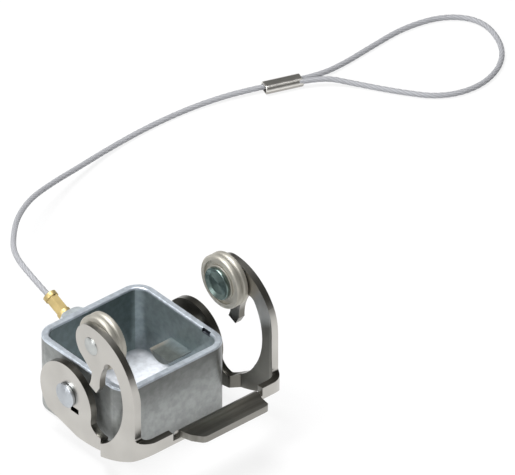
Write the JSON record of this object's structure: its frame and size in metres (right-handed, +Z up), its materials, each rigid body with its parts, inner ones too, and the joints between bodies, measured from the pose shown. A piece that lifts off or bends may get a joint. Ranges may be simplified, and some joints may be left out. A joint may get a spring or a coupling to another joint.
{
  "type": "connector protective cover",
  "caption": "Square die-cast protective cover for a plug connector, with a folded locking lever on two pins, a roller on each arm and a wire rope lanyard ending in a crimped loop.",
  "frame": {"origin": "centre of the cover's flat closed side, which it rests on", "axes": "+Z up out of the open side, +X along the lever's pivot axis, -Y towards the lever's handle, +Y towards the lanyard"},
  "size_m": [0.1632, 0.1051, 0.0353],
  "materials": {
    "casting": "satin grey coated die casting",
    "lever_sheet": "satin sheet steel, darker on its cut edges and inner faces",
    "pin_steel": "smooth turned steel",
    "roller_steel": "turned steel",
    "axle_steel": "formed rivet steel",
    "sleeve_brass": "drawn brass",
    "rope_steel": "stranded wire under a thin clear grey coat",
    "ferrule_nickel": "nickel plated, crimped"
  },
  "bodies": {
    "cover": {"cover_shell": "casting", "pivot_pin_left": "pin_steel", "pivot_pin_right": "pin_steel", "lanyard_sleeve": "sleeve_brass", "lanyard_rope": "rope_steel", "crimp_ferrule": "ferrule_nickel"},
    "lever": {"locking_lever": "lever_sheet", "roller_axle_left": "axle_steel", "roller_axle_right": "axle_steel"},
    "left_roller": {"roller_left": "roller_steel"},
    "right_roller": {"roller_right": "roller_steel"}
  },
  "joints": [
    {"name": "lever_pivot", "type": "hinge", "parent": "cover", "child": "lever", "pos_m": [0, -0.0005, 0.0117], "axis": [1, 0, 0], "range_deg": [-50, 85]},
    {"name": "left_roller_spin", "type": "hinge", "parent": "lever", "child": "left_roller", "pos_m": [0, -0.0101, 0.0295], "axis": [1, 0, 0], "continuous": true},
    {"name": "right_roller_spin", "type": "hinge", "parent": "lever", "child": "right_roller", "pos_m": [0, -0.0101, 0.0295], "axis": [1, 0, 0], "continuous": true}
  ]
}
